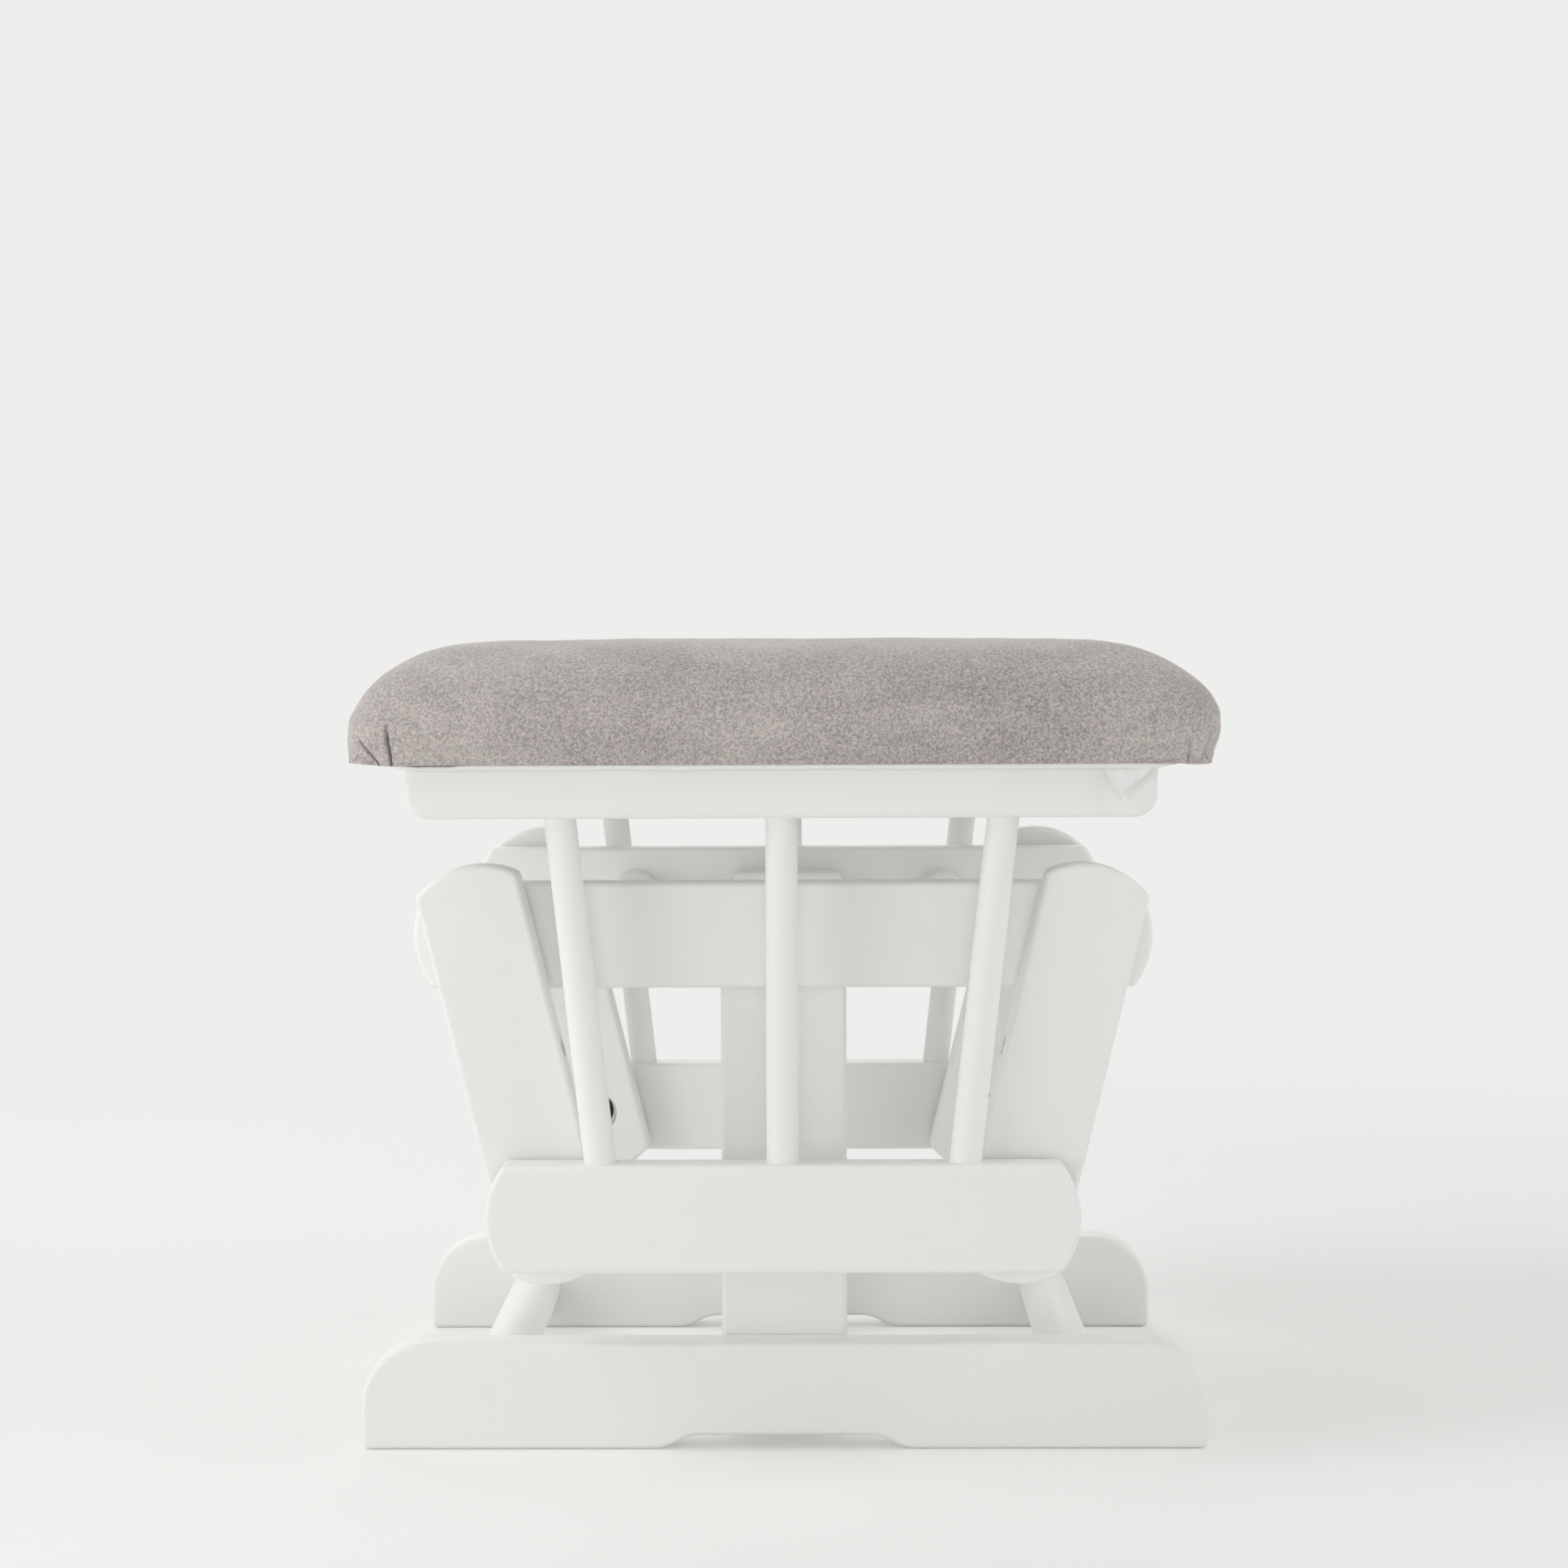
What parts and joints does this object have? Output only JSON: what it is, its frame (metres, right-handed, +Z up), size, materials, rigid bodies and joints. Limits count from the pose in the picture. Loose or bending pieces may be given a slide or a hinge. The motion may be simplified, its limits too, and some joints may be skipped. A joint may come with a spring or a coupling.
{
  "type": "glider ottoman",
  "caption": "Painted wooden glider ottoman: a padded footrest on spindled side frames, hung on swinging arms from a fixed base so that it glides back and forth.",
  "frame": {"origin": "on the floor, under the middle of the part's box", "axes": "+X along the glide towards the rear, +Y across it towards the right, +Z up"},
  "size_m": [0.435, 0.426, 0.4156],
  "materials": {
    "white_paint": "satin white paint",
    "grey_suede": "brushed nap",
    "foam": "matte",
    "dust_cloth": "matte",
    "plywood": "raw",
    "beech": "raw",
    "zinc_steel": "zinc plated",
    "black_steel": "black oxide",
    "black_rubber": "matte"
  },
  "bodies": {
    "base": {"left_foot": "white_paint", "right_foot": "white_paint", "left_post": "white_paint", "right_post": "white_paint", "left_base_rail": "white_paint", "right_base_rail": "white_paint", "front_lower_stretcher": "white_paint", "rear_lower_stretcher": "white_paint", "front_upper_stretcher": "white_paint", "rear_upper_stretcher": "white_paint", "post_screws": "zinc_steel", "pivot_studs": "zinc_steel", "upper_sleeves": "zinc_steel", "upper_bearing_cores": "zinc_steel", "upper_bearing_balls": "zinc_steel", "rear_upper_bearing_rings": "zinc_steel", "rear_upper_bearing_seals": "black_rubber"},
    "front_left_link": {"front_left_arm": "white_paint", "front_left_bearing_rings": "zinc_steel", "front_left_bearing_seals": "black_rubber"},
    "front_right_link": {"front_right_arm": "white_paint", "front_right_bearing_rings": "zinc_steel", "front_right_bearing_seals": "black_rubber"},
    "rear_left_link": {"rear_left_arm": "white_paint", "rear_left_bearing_ring": "zinc_steel", "rear_left_bearing_seals": "black_rubber"},
    "rear_right_link": {"rear_right_arm": "white_paint", "rear_right_bearing_ring": "zinc_steel", "rear_right_bearing_seals": "black_rubber"},
    "platform": {"left_lower_rail": "white_paint", "right_lower_rail": "white_paint", "left_seat_rail": "white_paint", "right_seat_rail": "white_paint", "front_left_spindle": "white_paint", "middle_left_spindle": "white_paint", "rear_left_spindle": "white_paint", "front_right_spindle": "white_paint", "middle_right_spindle": "white_paint", "rear_right_spindle": "white_paint", "front_cross_rail": "white_paint", "rear_cross_rail": "white_paint", "dowel_pins": "beech", "pivot_bolts": "black_steel", "lower_sleeves": "zinc_steel", "threaded_inserts": "zinc_steel", "lower_bearing_cores": "zinc_steel", "lower_bearing_balls": "zinc_steel", "seat_board": "plywood", "seat_board_screws": "zinc_steel", "foam_pad": "foam", "cushion_cover": "grey_suede", "dust_cover": "dust_cloth"}
  },
  "joints": [
    {"name": "front_left_swing", "type": "hinge", "parent": "base", "child": "front_left_link", "pos_m": [-0.152, -0.1675, 0.2645], "axis": [0, -1, 0], "range_deg": [-15, 15]},
    {"name": "front_right_swing", "type": "hinge", "parent": "base", "child": "front_right_link", "pos_m": [-0.152, 0.1675, 0.2645], "axis": [0, -1, 0], "range_deg": [-15, 15]},
    {"name": "platform_hinge", "type": "hinge", "parent": "front_left_link", "child": "platform", "pos_m": [-0.1185, -0.1675, 0.1275], "axis": [0, -1, 0], "range_deg": [-19.3, 19.3]},
    {"name": "rear_left_swing", "type": "hinge", "parent": "platform", "child": "rear_left_link", "pos_m": [0.1185, -0.1675, 0.1275], "axis": [0, -1, 0], "range_deg": [-19.3, 19.3]},
    {"name": "rear_right_swing", "type": "hinge", "parent": "platform", "child": "rear_right_link", "pos_m": [0.1185, 0.1675, 0.1275], "axis": [0, -1, 0], "range_deg": [-19.3, 19.3]}
  ],
  "couplings": [
    {"joint": "front_right_swing", "follows": "front_left_swing", "ratio": 1},
    {"joint": "platform_hinge", "follows": "front_left_swing", "ratio": -1.2827},
    {"joint": "rear_left_swing", "follows": "front_left_swing", "ratio": 1.2827},
    {"joint": "rear_right_swing", "follows": "front_left_swing", "ratio": 1.2827}
  ]
}
